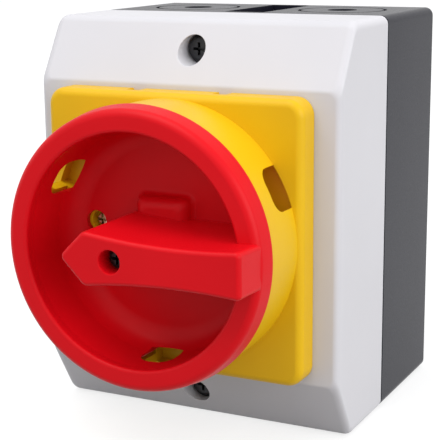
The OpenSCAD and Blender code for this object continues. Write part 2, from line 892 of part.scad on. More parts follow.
// Cam with two straight-rise lobes on the left and right
module cam(back) {
    step = 3;
    color(charcoal) upright() at_depth(back + middle - cam_t / 2) difference() {
        linear_extrude(cam_t) polygon([for (a = [0:step:360 - step])
            let (fold = min(a % 180, 180 - a % 180), r = cam_r - cam_lift * fold / turn_angle)
            r * [cos(a), sin(a)]]);
        shaft_hole();
    }
}

// Half of the bowl section, as radius along x and depth along y
module bowl_section() {
    lip_in = [bowl_r, rim_front];
    foot = [foot_r, knob_floor];
    outer = corner_arc([rim_r, rim_back], [rim_r, rim_front], lip_in, rim_round);
    inner = corner_arc([rim_r, rim_front], lip_in, foot, rim_lip);
    bottom = corner_arc(lip_in, foot, [0, knob_floor], bowl_fillet);
    polygon(concat([[0, knob_back], [cup_r, knob_back], [cup_r, rim_back], [rim_r, rim_back]],
        outer, inner, bottom, [[0, knob_floor]]));
}

// Outline of the grip bar, with its arrow tip to the left and its sides drawn in
module bar_outline() {
    shoulder = arrow_len - tip_x;
    steps = 10;
    upper = [for (i = [0:steps]) let (t = i / steps, waist = 4 * bar_waist * t * (1 - t))
        [shoulder + (bar_end - shoulder) * t, arrow_half + (end_half - arrow_half) * t - waist]];
    lower = [for (i = [steps:-1:0]) [upper[i].x, -upper[i].y]];
    polygon(concat([[-tip_x, 0]], upper, lower));
}

// Padlock window: an arch through the bowl wall that is open down to the lock plate
module padlock_window() {
    translate([window_in, 0, knob_back - 1]) radial_cut(window_w, window_h + floor_t + 1, window_rise);
}

module knob() {
    color(red) upright() difference() {
        union() {
            difference() {
                rotate_extrude() bowl_section();
                for (turn = padlock_turns) {
                    rotate([0, 0, turn]) padlock_window();
                }
                rotate([0, 0, -plate_screw_turn]) translate([-plate_screw_x, 0, knob_back - 1]) {
                    cylinder(d = peep_dia, h = floor_t + 3);
                }
            }
            translate([-hub_w / 2, -hub_h / 2, knob_floor - 1]) cube([hub_w, hub_h, hub_up + 1]);
            at_depth(knob_floor - 1) linear_extrude(rim_back - knob_floor + 2) intersection() {
                bar_outline();
                circle(bowl_r + 1);
            }
            at_depth(rim_back + 1) linear_extrude(bar_front - rim_back - 1) bar_outline();
        }
        square_bar(square_w + 2 * fit, knob_back - 1, socket_end + fit);
        at_depth(socket_end) cylinder(d = knob_thread + 0.4, h = bar_front);
        at_depth(screw_seat) cylinder(d = knob_hole, h = bar_front);
    }
}

module knob_screw() {
    reach = screw_seat - socket_end + knob_screw_grip;
    color(black_steel) upright() at_depth(screw_seat) {
        cross_screw(knob_hole / 2 - 0.2, knob_head_t, knob_thread / 2 - fit, reach, cross_w);
    }
}

base();
base_inserts();
earth_block();
earth_screw();
cover_gasket();
cover();
screw_seals();
cover_screws();
plate_gasket();
lock_plate();
plate_screws();
plate_inserts();
shaft_seal();
bearing_plate();
detent_housing();
detent_springs();
stage_1();
stage_2();
end_plate();
tie_screws();
tie_nuts();
line_contacts(stage_1_back);  // line_contacts_1
line_contacts(stage_2_back);  // line_contacts_2
load_contacts(stage_1_back);  // load_contacts_1
load_contacts(stage_2_back);  // load_contacts_2
fixed_tips(stage_1_back);  // fixed_tips_1
fixed_tips(stage_2_back);  // fixed_tips_2
terminal_clamps(stage_1_back);  // terminal_clamps_1
terminal_clamps(stage_2_back);  // terminal_clamps_2
terminal_screws(stage_1_back);  // terminal_screws_1
terminal_screws(stage_2_back);  // terminal_screws_2
pole_spring(1);  // pole_1_spring
pole_spring(2);  // pole_2_spring
pole_spring(3);  // pole_3_spring
pole_spring(4);  // pole_4_spring
shaft();
shaft_clip();
detent_wheel();
stop_washer();
cam(stage_1_back);  // cam_1
cam(stage_2_back);  // cam_2
knob();
knob_screw();
pole_plunger(1);  // pole_1_plunger
pole_plunger(2);  // pole_2_plunger
pole_plunger(3);  // pole_3_plunger
pole_plunger(4);  // pole_4_plunger
pole_bridge(1);  // pole_1_bridge
pole_bridge(2);  // pole_2_bridge
pole_bridge(3);  // pole_3_bridge
pole_bridge(4);  // pole_4_bridge
pole_tips(1);  // pole_1_tips
pole_tips(2);  // pole_2_tips
pole_tips(3);  // pole_3_tips
pole_tips(4);  // pole_4_tips
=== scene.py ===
import json
import math

import bmesh
import bpy
from mathutils import Matrix, Vector


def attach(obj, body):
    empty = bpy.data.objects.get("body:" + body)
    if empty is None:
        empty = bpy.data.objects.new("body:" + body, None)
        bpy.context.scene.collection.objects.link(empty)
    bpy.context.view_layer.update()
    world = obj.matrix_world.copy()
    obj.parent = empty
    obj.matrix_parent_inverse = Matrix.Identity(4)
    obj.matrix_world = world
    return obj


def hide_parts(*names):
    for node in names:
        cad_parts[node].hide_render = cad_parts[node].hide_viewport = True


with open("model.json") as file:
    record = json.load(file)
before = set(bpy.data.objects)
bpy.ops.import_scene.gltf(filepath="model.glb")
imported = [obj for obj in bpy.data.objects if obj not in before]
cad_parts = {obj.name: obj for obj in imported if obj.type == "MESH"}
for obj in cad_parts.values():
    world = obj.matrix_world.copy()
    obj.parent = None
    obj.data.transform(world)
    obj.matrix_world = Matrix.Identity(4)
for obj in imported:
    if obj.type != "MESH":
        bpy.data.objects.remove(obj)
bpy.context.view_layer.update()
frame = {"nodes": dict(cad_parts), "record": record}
nodes = frame["nodes"]
scene = bpy.context.scene
mm = 0.001


def place(x, d, z):  # a drawing point in mm: right, out from the wall, up
    return Vector((x * mm, -d * mm, z * mm))


# camera

viewpoint = {
    "place": (135.740, 317.701, 66.690),
    "yaw": 26.576,  # degrees round to the right of the front
    "pitch": 12.670,  # degrees down
    "roll": -0.527,
    "lens": 105.066,
    "sensor": 36.0,
}


def aimCamera(look):
    yaw, pitch, roll = (math.radians(look[k]) for k in ("yaw", "pitch", "roll"))
    ahead = Vector((-math.sin(yaw) * math.cos(pitch), math.cos(yaw) * math.cos(pitch), -math.sin(pitch)))
    right = Vector((math.cos(yaw), math.sin(yaw), 0))
    up = right.cross(ahead)
    tiltedRight = right * math.cos(roll) + up * math.sin(roll)
    tiltedUp = up * math.cos(roll) - right * math.sin(roll)
    data = bpy.data.cameras.new("camera")
    data.lens, data.sensor_width = look["lens"], look["sensor"]
    camera = bpy.data.objects.new("camera", data)
    scene.collection.objects.link(camera)
    turn = Matrix((tiltedRight, tiltedUp, -ahead)).transposed().to_4x4()
    camera.matrix_world = Matrix.Translation(place(*look["place"])) @ turn
    scene.camera = camera


aimCamera(viewpoint)
print("camera set")

# outlines, all in mm


def roundCorner(a, b, c, r, steps=6):  # arc that rounds corner b between a and c
    u = (Vector(a) - Vector(b)).normalized()
    v = (Vector(c) - Vector(b)).normalized()
    half = math.acos(max(-1, min(1, u.dot(v)))) / 2
    centre = Vector(b) + (u + v).normalized() * (r / math.sin(half))
    start = Vector(b) + u * (r / math.tan(half)) - centre
    side = -1 if u.x * v.y - u.y * v.x > 0 else 1
    sweep = side * (math.pi - 2 * half)
    points = []
    for i in range(steps + 1):
        t = sweep * i / steps
        points.append((centre.x + start.x * math.cos(t) - start.y * math.sin(t),
                       centre.y + start.x * math.sin(t) + start.y * math.cos(t)))
    return points


def softPath(corners, closed=True):  # each corner is (x, y) or (x, y, radius) or (x, y, radius, steps)
    path = []
    count = len(corners)
    for i, corner in enumerate(corners):
        ends = not closed and i in (0, count - 1)
        if len(corner) == 2 or ends:
            path.append(tuple(corner[:2]))
            continue
        before, after = corners[i - 1][:2], corners[(i + 1) % count][:2]
        path += roundCorner(before, corner[:2], after, corner[2], corner[3] if len(corner) > 3 else 6)
    return path


def roundedBox(halfW, halfH, r, d, steps=6):  # rounded rectangle at one depth
    flat = softPath([(halfW, -halfH, r, steps), (halfW, halfH, r, steps),
                     (-halfW, halfH, r, steps), (-halfW, -halfH, r, steps)])
    return [(x, d, z) for x, z in flat]


def inset(path, amount):  # moves a closed outline inwards along its normals
    following = path[1:] + path[:1]
    area = sum(x0 * y1 - x1 * y0 for (x0, y0), (x1, y1) in zip(path, following))
    way = 1 if area > 0 else -1
    moved = []
    for i, spot in enumerate(path):
        p = Vector(spot)
        before = (p - Vector(path[i - 1])).normalized()
        after = (Vector(following[i]) - p).normalized()
        n1, n2 = Vector((-before.y, before.x)), Vector((-after.y, after.x))
        n = (n1 + n2).normalized()
        moved.append(tuple(p + n * (way * amount / max(0.4, n.dot(n1)))))
    return moved


# meshes

past = 1  # mm that a cutter runs past a face


def newPiece(name, bm):
    bmesh.ops.remove_doubles(bm, verts=bm.verts, dist=1e-7)
    bmesh.ops.recalc_face_normals(bm, faces=bm.faces)
    if bm.calc_volume(signed=True) < 0:
        bmesh.ops.reverse_faces(bm, faces=bm.faces)
    mesh = bpy.data.meshes.new(name)
    bm.to_mesh(mesh)
    bm.free()
    piece = bpy.data.objects.new(name, mesh)
    scene.collection.objects.link(piece)
    return piece


def loft(name, loops, ring=False):  # skin over loops of equal length, capped unless it closes on itself
    bm = bmesh.new()
    rows = [[bm.verts.new(place(*p)) for p in loop] for loop in loops]
    count = len(loops[0])
    for k in range(len(rows) if ring else len(rows) - 1):
        a, b = rows[k], rows[(k + 1) % len(rows)]
        for i in range(count):
            j = (i + 1) % count
            bm.faces.new((a[i], a[j], b[j], b[i]))
    if not ring:
        bm.faces.new(rows[0])
        bm.faces.new(rows[-1])
    return newPiece(name, bm)


def lathe(name, profile, sides=64, ring=False, at=(0, 0)):  # turns a profile of (radius, depth)
    loops = []
    angles = [2 * math.pi * (i + 0.31) / sides for i in range(sides)]  # no corner lands on an axis
    for r, d in profile:
        loops.append([(at[0] + r * math.cos(a), d, at[1] + r * math.sin(a)) for a in angles])
    return loft(name, loops, ring)


def block(name, low, high):  # plain cutter between two corners
    (x0, d0, z0), (x1, d1, z1) = low, high
    return loft(name, [[(x0, d, z0), (x1, d, z0), (x1, d, z1), (x0, d, z1)] for d in (d0, d1)])


def tidyMesh(mesh, near=2e-6):
    bm = bmesh.new()
    bm.from_mesh(mesh)
    bmesh.ops.remove_doubles(bm, verts=bm.verts, dist=near)
    bmesh.ops.dissolve_degenerate(bm, edges=bm.edges, dist=near)
    bm.to_mesh(mesh)
    bm.free()


def join(body, other, how):
    step = body.modifiers.new(how.lower(), "BOOLEAN")
    step.operation, step.solver, step.object = how, "EXACT", other
    bpy.context.view_layer.update()
    made = bpy.data.meshes.new_from_object(body.evaluated_get(bpy.context.evaluated_depsgraph_get()))
    tidyMesh(made)
    body.modifiers.clear()
    old = body.data
    body.data = made
    made.name = old.name
    bpy.data.meshes.remove(old)
    bpy.data.meshes.remove(other.data)


def carve(body, *tools):
    for tool in tools:
        join(body, tool, "DIFFERENCE")


def weld(body, *others):
    for other in others:
        join(body, other, "UNION")


def breakEdges(body, width, segments, wanted, least=30):  # rounds the edges that the test wants
    bm = bmesh.new()
    bm.from_mesh(body.data)
    bmesh.ops.remove_doubles(bm, verts=bm.verts, dist=1e-7)
    sharp = []
    for e in bm.edges:
        if len(e.link_faces) == 2 and e.calc_face_angle(0) > math.radians(least):
            m = (e.verts[0].co + e.verts[1].co) / 2 / mm
            if wanted(m.x, -m.y, m.z):
                sharp.append(e)
    bmesh.ops.bevel(bm, geom=sharp, offset=width * mm, segments=segments, profile=0.5,
                    affect="EDGES", clamp_overlap=True)
    bm.to_mesh(body.data)
    bm.free()


def smooth(piece, angle=32):  # edges past the angle in degrees stay sharp
    tidyMesh(piece.data)
    piece.data.shade_smooth()
    piece.data.set_sharp_from_angle(angle=math.radians(angle))
    even = piece.modifiers.new("even shading", "WEIGHTED_NORMAL")
    even.keep_sharp = True
    even.weight = 80


# materials


def wire(tree, a, aOut, b, bIn):
    tree.links.new(a.outputs[aOut], b.inputs[bIn])


def grainMap(tree, where, scale, detail):
    noise = tree.nodes.new("ShaderNodeTexNoise")
    noise.inputs["Scale"].default_value = scale
    noise.inputs["Detail"].default_value = detail
    noise.inputs["Roughness"].default_value = 0.55
    wire(tree, where, "Object", noise, "Vector")
    return noise


def spread(tree, noise, low, high):  # noise turned into a range of values
    turn = tree.nodes.new("ShaderNodeMapRange")
    turn.inputs["From Min"].default_value = 0.3
    turn.inputs["From Max"].default_value = 0.7
    turn.inputs["To Min"].default_value = low
    turn.inputs["To Max"].default_value = high
    wire(tree, noise, "Fac", turn, "Value")
    return turn


def finish(name, look):
    mat = bpy.data.materials.new(name)
    mat.use_nodes = True
    tree = mat.node_tree
    shader = tree.nodes["Principled BSDF"]
    where = tree.nodes.new("ShaderNodeTexCoord")
    cloud = grainMap(tree, where, look["cloud"], 3.0)  # slow drift of the colour
    ramp = tree.nodes.new("ShaderNodeValToRGB")
    ramp.color_ramp.elements[0].position = 0.32
    ramp.color_ramp.elements[1].position = 0.68
    ramp.color_ramp.elements[0].color = (*look["shade"], 1)
    ramp.color_ramp.elements[1].color = (*look["colour"], 1)
    wire(tree, cloud, "Fac", ramp, "Fac")
    wire(tree, ramp, "Color", shader, "Base Color")
    grain = grainMap(tree, where, look["grain"], 4.0)
    wire(tree, spread(tree, grain, *look["rough"]), "Result", shader, "Roughness")
    bump = tree.nodes.new("ShaderNodeBump")
    bump.inputs["Strength"].default_value = look["bump"]
    bump.inputs["Distance"].default_value = look.get("relief", 0.05) * mm
    wire(tree, grain, "Fac", bump, "Height")
    wire(tree, bump, "Normal", shader, "Normal")
    shader.inputs["Metallic"].default_value = look.get("metal", 0)
    shader.inputs["Specular IOR Level"].default_value = look.get("gloss", 0.5)
    return mat


finishes = {
    "black_plastic": dict(colour=(0.013, 0.013, 0.021), shade=(0.010, 0.010, 0.017), cloud=45, grain=2600,
                          rough=(0.26, 0.36), bump=0.20, relief=0.05, gloss=0.10),
    "pale_plastic": dict(colour=(0.62, 0.61, 0.635), shade=(0.60, 0.59, 0.615), cloud=30, grain=3200,
                         rough=(0.40, 0.50), bump=0.12, relief=0.03, gloss=0.25),
    "yellow_plastic": dict(colour=(0.745, 0.45, 0.005), shade=(0.715, 0.42, 0.004), cloud=35, grain=3000,
                           rough=(0.36, 0.46), bump=0.08, relief=0.03, gloss=0.22),
    "red_plastic": dict(colour=(0.67, 0.0025, 0.008), shade=(0.63, 0.002, 0.007), cloud=38, grain=3000,
                        rough=(0.36, 0.46), bump=0.10, relief=0.03, gloss=0.15),
    "black_rubber": dict(colour=(0.020, 0.020, 0.021), shade=(0.014, 0.014, 0.015), cloud=120, grain=1800,
                         rough=(0.70, 0.85), bump=0.3),
    "brass": dict(colour=(0.72, 0.52, 0.20), shade=(0.60, 0.42, 0.15), cloud=200, grain=1500,
                  rough=(0.24, 0.38), bump=0.10, metal=1),
    "grey_nylon": dict(colour=(0.085, 0.088, 0.095), shade=(0.066, 0.068, 0.075), cloud=80, grain=2200,
                       rough=(0.42, 0.55), bump=0.2),
    "cream_thermoset": dict(colour=(0.66, 0.60, 0.47), shade=(0.58, 0.52, 0.40), cloud=90, grain=1400,
                            rough=(0.45, 0.60), bump=0.25),
    "black_nylon": dict(colour=(0.030, 0.030, 0.033), shade=(0.022, 0.022, 0.025), cloud=90, grain=2200,
                        rough=(0.40, 0.52), bump=0.2),
    "copper": dict(colour=(0.76, 0.36, 0.20), shade=(0.62, 0.27, 0.14), cloud=160, grain=1200,
                   rough=(0.26, 0.42), bump=0.12, metal=1),
    "contact_silver": dict(colour=(0.80, 0.79, 0.76), shade=(0.70, 0.69, 0.66), cloud=220, grain=1800,
                           rough=(0.28, 0.40), bump=0.10, metal=1),
    "spring_steel": dict(colour=(0.56, 0.56, 0.57), shade=(0.46, 0.46, 0.48), cloud=240, grain=1600,
                         rough=(0.24, 0.36), bump=0.08, metal=1),
    "zinc_steel": dict(colour=(0.68, 0.58, 0.40), shade=(0.58, 0.49, 0.32), cloud=180, grain=1500,
                       rough=(0.26, 0.42), bump=0.12, metal=1),
    "black_steel": dict(colour=(0.036, 0.036, 0.039), shade=(0.026, 0.026, 0.028), cloud=200, grain=1600,
                        rough=(0.30, 0.44), bump=0.15, metal=0.6),
}
paint = {name: finish(name, look) for name, look in finishes.items()}


def settle(piece, body, slot, replaced):  # shading, finish and place in the assembly
    smooth(piece)
    piece.data.materials.clear()
    piece.data.materials.append(paint[slot])
    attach(piece, body)
    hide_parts(replaced)


for row in frame["record"]["subparts"]:
    solid = nodes[row["node"]]
    solid.data.materials.clear()
    solid.data.materials.append(paint[row["material_slot"]])
print("finishes:", len(paint))

# cover

coverLook = {
    "halfW": 38.0, "halfH": 47.5, "corner": 2.0,
    "joint": 34.5, "jointEdge": 0.35, "front": 64.0, "wall": 2.5, "frontWall": 3.0,
    "chamferH": 14.4, "chamferD": 8.7, "browR": 3.0, "ridgeR": 1.5, "sideR": 1.5,
    "screwZ": 40.5, "wellR": 3.4, "wellFloor": 51.5, "wellTop": 69.0, "wellEdge": 0.2, "mouthFrom": 56.0,
    "bossR": 5.2, "bossSink": 1.2, "threadR": 2.3, "threadEnd": 30.0,
    "shaftHoleR": 7.5, "plateHole": (18.4, -1.8), "plateHoleR": 1.55, "holeReach": (58, 66),
}


def along(path, d):  # value at depth d on a path of (depth, value) points
    for (d0, v0), (d1, v1) in zip(path, path[1:]):
        if d0 - 1e-6 <= d <= d1 + 1e-6:
            return v0 + (v1 - v0) * (d - d0) / max(d1 - d0, 1e-9)
    return path[-1][1]


def sideOfCover(c, halfW, halfH, wall, front):  # depth, half width and half height, joint to front
    back = c["joint"]
    slope = math.hypot(c["chamferH"], c["chamferD"])
    reach = c["chamferH"] * (c["front"] - c["chamferD"]) + c["chamferD"] * c["halfH"] - wall * slope
    brow = (reach - c["chamferD"] * halfH) / c["chamferH"]
    ridge = (reach - c["chamferH"] * front) / c["chamferD"]
    high = softPath([(back, halfH), (brow, halfH, c["browR"], 8), (front, ridge, c["ridgeR"], 5),
                     (front, 0)], False)[:-1]
    wide = softPath([(back, halfW), (front, halfW, c["sideR"], 8), (front, 0)], False)[:-1]
    depths = sorted({round(d, 5) for d, _ in high + wide})
    return [(d, along(wide, d), along(high, d)) for d in depths]


def screwBoss(c, side):  # post under a screw well, cut to the slope above it
    ridge = c["halfH"] - c["chamferH"]
    foot, head = [], []
    for i in range(40):
        a = 2 * math.pi * (i + 0.31) / 40
        x, z = c["bossR"] * math.cos(a), c["screwZ"] + c["bossR"] * math.sin(a)
        slope = c["front"] - max(0, z - ridge) * c["chamferD"] / c["chamferH"]
        foot.append((x, c["joint"], side * z))
        head.append((x, slope - c["bossSink"], side * z))
    return loft("boss", [foot, head])


def makeCover(c):
    outer = sideOfCover(c, c["halfW"], c["halfH"], 0, c["front"])
    wall = c["wall"]
    inner = sideOfCover(c, c["halfW"] - wall, c["halfH"] - wall, wall, c["front"] - c["frontWall"])
    loops = [roundedBox(w, h, c["corner"], d) for d, w, h in reversed(inner)]
    lip = c["jointEdge"]
    loops.append(roundedBox(c["halfW"] - lip, c["halfH"] - lip, c["corner"], c["joint"]))
    loops.append(roundedBox(c["halfW"], c["halfH"], c["corner"], c["joint"] + lip))
    loops += [roundedBox(w, h, c["corner"], d) for d, w, h in outer[1:]]
    cover = loft("coverShell", loops)
    weld(cover, screwBoss(c, 1), screwBoss(c, -1))
    posts = ((0, c["screwZ"]), (0, -c["screwZ"]))
    for at in posts:
        carve(cover, lathe("well", [(c["wellR"], d) for d in (c["wellFloor"], c["wellTop"])], 48, at=at))

    def mouthOfWell(x, d, z):
        return d > c["mouthFrom"] and abs(math.hypot(x, abs(z) - c["screwZ"]) - c["wellR"]) < 0.1

    breakEdges(cover, c["wellEdge"], 2, mouthOfWell)
    bore = (c["threadEnd"], c["wellFloor"] + past)
    for s, at in zip((1, -1), posts):
        carve(cover, lathe("screw bore", [(c["threadR"], d) for d in bore], 32, at=at))
        carve(cover, lathe("plate hole", [(c["plateHoleR"], d) for d in c["holeReach"]], 32,
                           at=(s * c["plateHole"][0], s * c["plateHole"][1])))
    carve(cover, lathe("shaft hole", [(c["shaftHoleR"], d) for d in c["holeReach"]], 64))
    settle(cover, "case", "pale_plastic", "cover")


makeCover(coverLook)
print("cover made")

# base

baseLook = {
    "halfW": 38.0, "halfH": 47.5, "corner": 2.0, "depth": 34.5, "floor": 3.0,
    "lipHalfW": 35.35, "lipHalfH": 44.85, "lipIn": 1.6, "lipTop": 37.5,
    "lipCorner": 1.0, "backEdge": 0.7, "jointEdge": 0.35,
    "screwZ": 40.5, "bossR": 5.2, "bossFoot": 1.0, "insertR": 3.0, "insertLen": 9.0, "insertTop": 40.0,
    "holeX": 30.0, "holeZ": 39.5, "holeR": 2.25, "holeEdge": (0.5, 0.6),
    "holeBossR": 4.75, "holeBossTop": 6.0,
    "knockX": 20.0, "knockD": 17.25, "knockR": 11.0, "knockGroove": 0.8, "dimpleR": 3.667,
    "channelHalf": 5.25, "channelSink": 2.5, "channelEnd": 2.5,
}


def roundSink(b, x, way, profile, ring):  # cutter in the top or bottom wall, of (radius, height) points
    sides = 56
    turns = [2 * math.pi * i / sides for i in range(sides)]
    loops = [[(x + r * math.cos(t), b["knockD"] + r * math.sin(t), way * (b["halfH"] + up)) for t in turns]
             for r, up in profile]
    return loft("sink", loops, ring)


def makeBase(b):
    e, j = b["backEdge"], b["jointEdge"]
    w, h, turn = b["halfW"], b["halfH"], b["corner"]
    m = e * 0.29  # middle of the rounded back edge
    lipW, lipH, thick = b["lipHalfW"], b["lipHalfH"], b["lipIn"]
    loops = [roundedBox(w - e, h - e, turn, 0), roundedBox(w - m, h - m, turn, m), roundedBox(w, h, turn, e),
             roundedBox(w, h, turn, b["depth"] - j), roundedBox(w - j, h - j, turn, b["depth"])]
    loops += [roundedBox(lipW, lipH, turn, d) for d in (b["depth"], b["lipTop"])]
    loops += [roundedBox(lipW - thick, lipH - thick, b["lipCorner"], d) for d in (b["lipTop"], b["floor"])]
    base = loft("backBox", loops)
    for s in (1, -1):
        post = (0, s * b["screwZ"])
        weld(base, lathe("boss", [(b["bossR"], d) for d in (b["bossFoot"], b["depth"])], 40, at=post))
        for side in (1, -1):
            at = (side * b["holeX"], s * b["holeZ"])
            pad = (b["bossFoot"], b["holeBossTop"])
            weld(base, lathe("pad", [(b["holeBossR"], d) for d in pad], 36, at=at))
            hole, (grow, sink) = b["holeR"], b["holeEdge"]
            carve(base, lathe("hole", [(hole + grow, -past), (hole + grow, 0), (hole, sink),
                                       (hole, b["holeBossTop"] + past)], 36, at=at))
            x, g, r = side * b["knockX"], b["knockGroove"], b["knockR"]
            carve(base, roundSink(b, x, s, ((r, -g), (r, g), (r - g, g), (r - g, -g)), True))
            carve(base, roundSink(b, x, s, ((b["dimpleR"], -g), (b["dimpleR"], g)), False))
        seat = (b["depth"] - b["insertLen"], b["insertTop"])
        carve(base, lathe("insert seat", [(b["insertR"], d) for d in seat], 32, at=post))
    carve(base, block("channel", (-b["channelHalf"], b["channelEnd"], h - b["channelSink"]),
                      (b["channelHalf"], b["depth"] - b["channelEnd"], h + past)))
    settle(base, "case", "black_plastic", "base")


makeBase(baseLook)
print("base made")

# lock plate

plateLook = {
    "half": 32.0, "corner": 4.0, "back": 64.0, "backEdge": 0.3, "face": 70.6, "edge": 1.8,
    "collarR": 30.9, "collarIn": 28.9, "collarTop": 84.1, "collarFoot": 68.6,
    "collarEdge": 0.7, "collarInEdge": 0.4,
    "slotHalf": 5.0, "slotFoot": 0.4, "slotH": 7.8, "slotR": 3.4, "slotReach": (22, 38),
    "turns": (26.0, 151.5, 271.0), "pocket": 3.2, "pocketIn": 23.5, "pocketFit": (0.02, 0.05),
    "boreR": 5.3, "screw": (18.4, -1.8), "headR": 2.2, "headSink": 2.2, "threadR": 1.55,
    "ringIn": 23.9, "ringOut": 26.9, "ringT": 1.2,
    "notchX": 10.88, "notchHalf": 1.7, "notchIn": 1.2, "notchTop": 67.6,
}


def archCut(half, low, high, r, reaches, turn, grow=0):  # arched opening, wider by grow at the last reach
    a = math.radians(turn)
    out, side = Vector((math.cos(a), math.sin(a))), Vector((-math.sin(a), math.cos(a)))
    loops = []
    for reach in reaches:
        more = grow if reach == reaches[-1] else 0
        w, top = half + more, high + more
        flat = softPath([(-w, low), (w, low), (w, top, r + more, 8), (-w, top, r + more, 8)])
        spots = [(out * reach + side * v, d) for v, d in flat]
        loops.append([(p.x, d, p.y) for p, d in spots])
    return loft("arch", loops)


def slotPocket(p, turn):  # shallow recess in the plate under a collar slot
    half, edge = p["slotHalf"] - p["pocketFit"][0], p["collarR"] - p["pocketFit"][1]
    wide = math.asin(half / edge)
    a = math.radians(turn)
    arc = [wide * (i / 5 - 1) for i in range(11)]
    flat = [(p["pocketIn"], half), (p["pocketIn"], -half)]
    flat += [(edge * math.cos(t), edge * math.sin(t)) for t in arc]
    turned = [(u * math.cos(a) - v * math.sin(a), u * math.sin(a) + v * math.cos(a)) for u, v in flat]
    depths = (p["face"] - p["pocket"], p["face"] + past / 2)
    return loft("pocket", [[(x, d, z) for x, z in turned] for d in depths])


def makePlate(p):
    cornerSteps, edgeSteps = 10, 8
    e = p["backEdge"]
    loops = [roundedBox(p["half"] - e, p["half"] - e, p["corner"], p["back"], cornerSteps),
             roundedBox(p["half"], p["half"], p["corner"], p["back"] + e, cornerSteps)]
    for k in range(edgeSteps + 1):
        a = math.pi / 2 * k / edgeSteps
        drop = p["edge"] * (1 - math.cos(a))
        w = p["half"] - drop
        loops.append(roundedBox(w, w, max(p["corner"] - drop, 0.5), p["face"] - p["edge"] * (1 - math.sin(a)),
                                cornerSteps))
    plate = loft("lockPlate", loops)
    section = softPath([(p["collarIn"], p["collarFoot"]), (p["collarR"], p["collarFoot"]),
                        (p["collarR"], p["collarTop"], p["collarEdge"], 5),
                        (p["collarIn"], p["collarTop"], p["collarInEdge"], 4)])
    collar = lathe("collar", section, 160, ring=True)
    low, high = p["face"] - p["slotFoot"], p["face"] + p["slotH"]
    for turn in p["turns"]:
        carve(collar, archCut(p["slotHalf"], low, high, p["slotR"], p["slotReach"], turn))
    weld(plate, collar)
    for turn in p["turns"]:
        carve(plate, slotPocket(p, turn))
    behind, front = p["back"] - past, p["face"] + past
    carve(plate, lathe("bore", [(p["boreR"], behind), (p["boreR"], front)], 48))
    seat = p["face"] - p["headSink"]
    for s in (1, -1):
        at = (s * p["screw"][0], s * p["screw"][1])
        carve(plate, lathe("head", [(p["threadR"], behind), (p["threadR"], seat), (p["headR"], seat),
                                    (p["headR"], front)], 40, at=at))
        x = s * p["notchX"]
        carve(plate, block("notch", (x - p["notchHalf"], behind, p["half"] - p["notchIn"]),
                           (x + p["notchHalf"], p["notchTop"], p["half"] + past)))
    groove = p["back"] + p["ringT"]
    carve(plate, lathe("seal groove", [(p["ringIn"], behind), (p["ringOut"], behind), (p["ringOut"], groove),
                                       (p["ringIn"], groove)], 96, ring=True))
    settle(plate, "case", "yellow_plastic", "lock_plate")


makePlate(plateLook)
print("lock plate made")

# knob

knobLook = {
    "back": 70.9, "floor": 72.1, "cupR": 27.4, "cupRound": 0.4, "core": 4.0,
    "rimBack": 84.4, "rimFront": 89.9, "rimR": 31.6, "rimFace": 30.75, "rimRound": 1.9, "rimBackRound": 0.5,
    "mouthR": 25.8, "lip": 0.8, "bowlR": 26.3, "bowlStart": 3.0, "bowlRound": 4.0,
    "footR": 26.0, "fillet": 5.5,
    "windows": ((27.5, 4.4, 25.0), (149.8, 4.5, 25.0), (272.7, 4.1, 25.3)),  # turn, half width, inner reach
    "windowReach": (26.2, 29.0), "windowH": 10.3, "windowR": 2.8, "windowFlare": 3.6,
    "barFront": 97.7, "tipX": -12.5, "shoulderX": -6.5, "arrowHalf": 6.0, "barEnd": 30.1, "endHalf": 5.1,
    "endTaper": 0.08, "endLen": 2.0, "waist": 1.1,
    "barRound": 1.0, "tipR": 1.5, "shoulderR": 2.0, "endR": 1.2,
    "barLow": (71.1, 84.8), "cupFit": 0.5, "barHigh": (84.9, 88.7), "rimFit": 0.06,  # in the cup, in the rim
    "hubW": 6.4, "hubH": 9.4, "hubTop": 76.1, "hubRound": 2.3, "hubFlare": 1.2, "hubR": 1.5, "hubFootR": 2.2,
    "peep": (-18.55, 1.8), "peepR": 2.6, "holeR": 2.5, "seat": 91.8, "threadR": 1.7,
    "holeEdge": ((0, -0.45), (0.15, -0.12), (0.45, 0.02), (0.45, 1)),  # past the hole and the bar front
    "socketHalf": 3.55, "socketEnd": 80.1,
}


def barOutline(k):
    steps = 10
    upper = []
    for i in range(1, steps):
        t = i / steps
        upper.append((k["shoulderX"] + (k["barEnd"] - k["shoulderX"]) * t,
                      k["arrowHalf"] + (k["endHalf"] - k["arrowHalf"]) * t - 4 * k["waist"] * t * (1 - t)))
    corners = [(k["tipX"], 0, k["tipR"], 6), (k["shoulderX"], -k["arrowHalf"], k["shoulderR"], 6)]
    corners += [(x, -y) for x, y in upper]
    corners += [(k["barEnd"], side * k["endHalf"], k["endR"], 5) for side in (-1, 1)]
    corners += upper[::-1]
    corners.append((k["shoulderX"], k["arrowHalf"], k["shoulderR"], 6))
    return softPath(corners)


def softBar(k):  # grip bar, inside the cup and the rim below, its end in line with the rim's side above
    outline = barOutline(k)
    lean = (k["rimR"] - k["rimFace"]) / (k["rimFront"] - k["rimBack"])

    def layer(d, limit, shrink=0):
        spots = []
        for x, z in inset(outline, shrink) if shrink else outline:
            atEnd = max(0, min(1, (x - k["barEnd"] + k["endLen"]) / k["endLen"]))
            x += atEnd * k["endTaper"] * (k["barFront"] - d)
            keep = min(1, limit / math.hypot(x, z))
            spots.append((x * keep, d, z * keep))
        return spots

    loops = [layer(d, k["cupR"] - k["cupFit"]) for d in k["barLow"]]
    for d in k["barHigh"]:
        loops.append(layer(d, k["rimR"] - lean * (d - k["rimBack"]) - k["rimFit"]))
    steps = 6
    for i in range(steps + 1):
        a = math.pi / 2 * i / steps
        drop = k["barRound"] * (1 - math.sin(a))
        loops.append(layer(k["barFront"] - drop, k["rimR"], k["barRound"] * (1 - math.cos(a))))
    return loft("bar", loops)


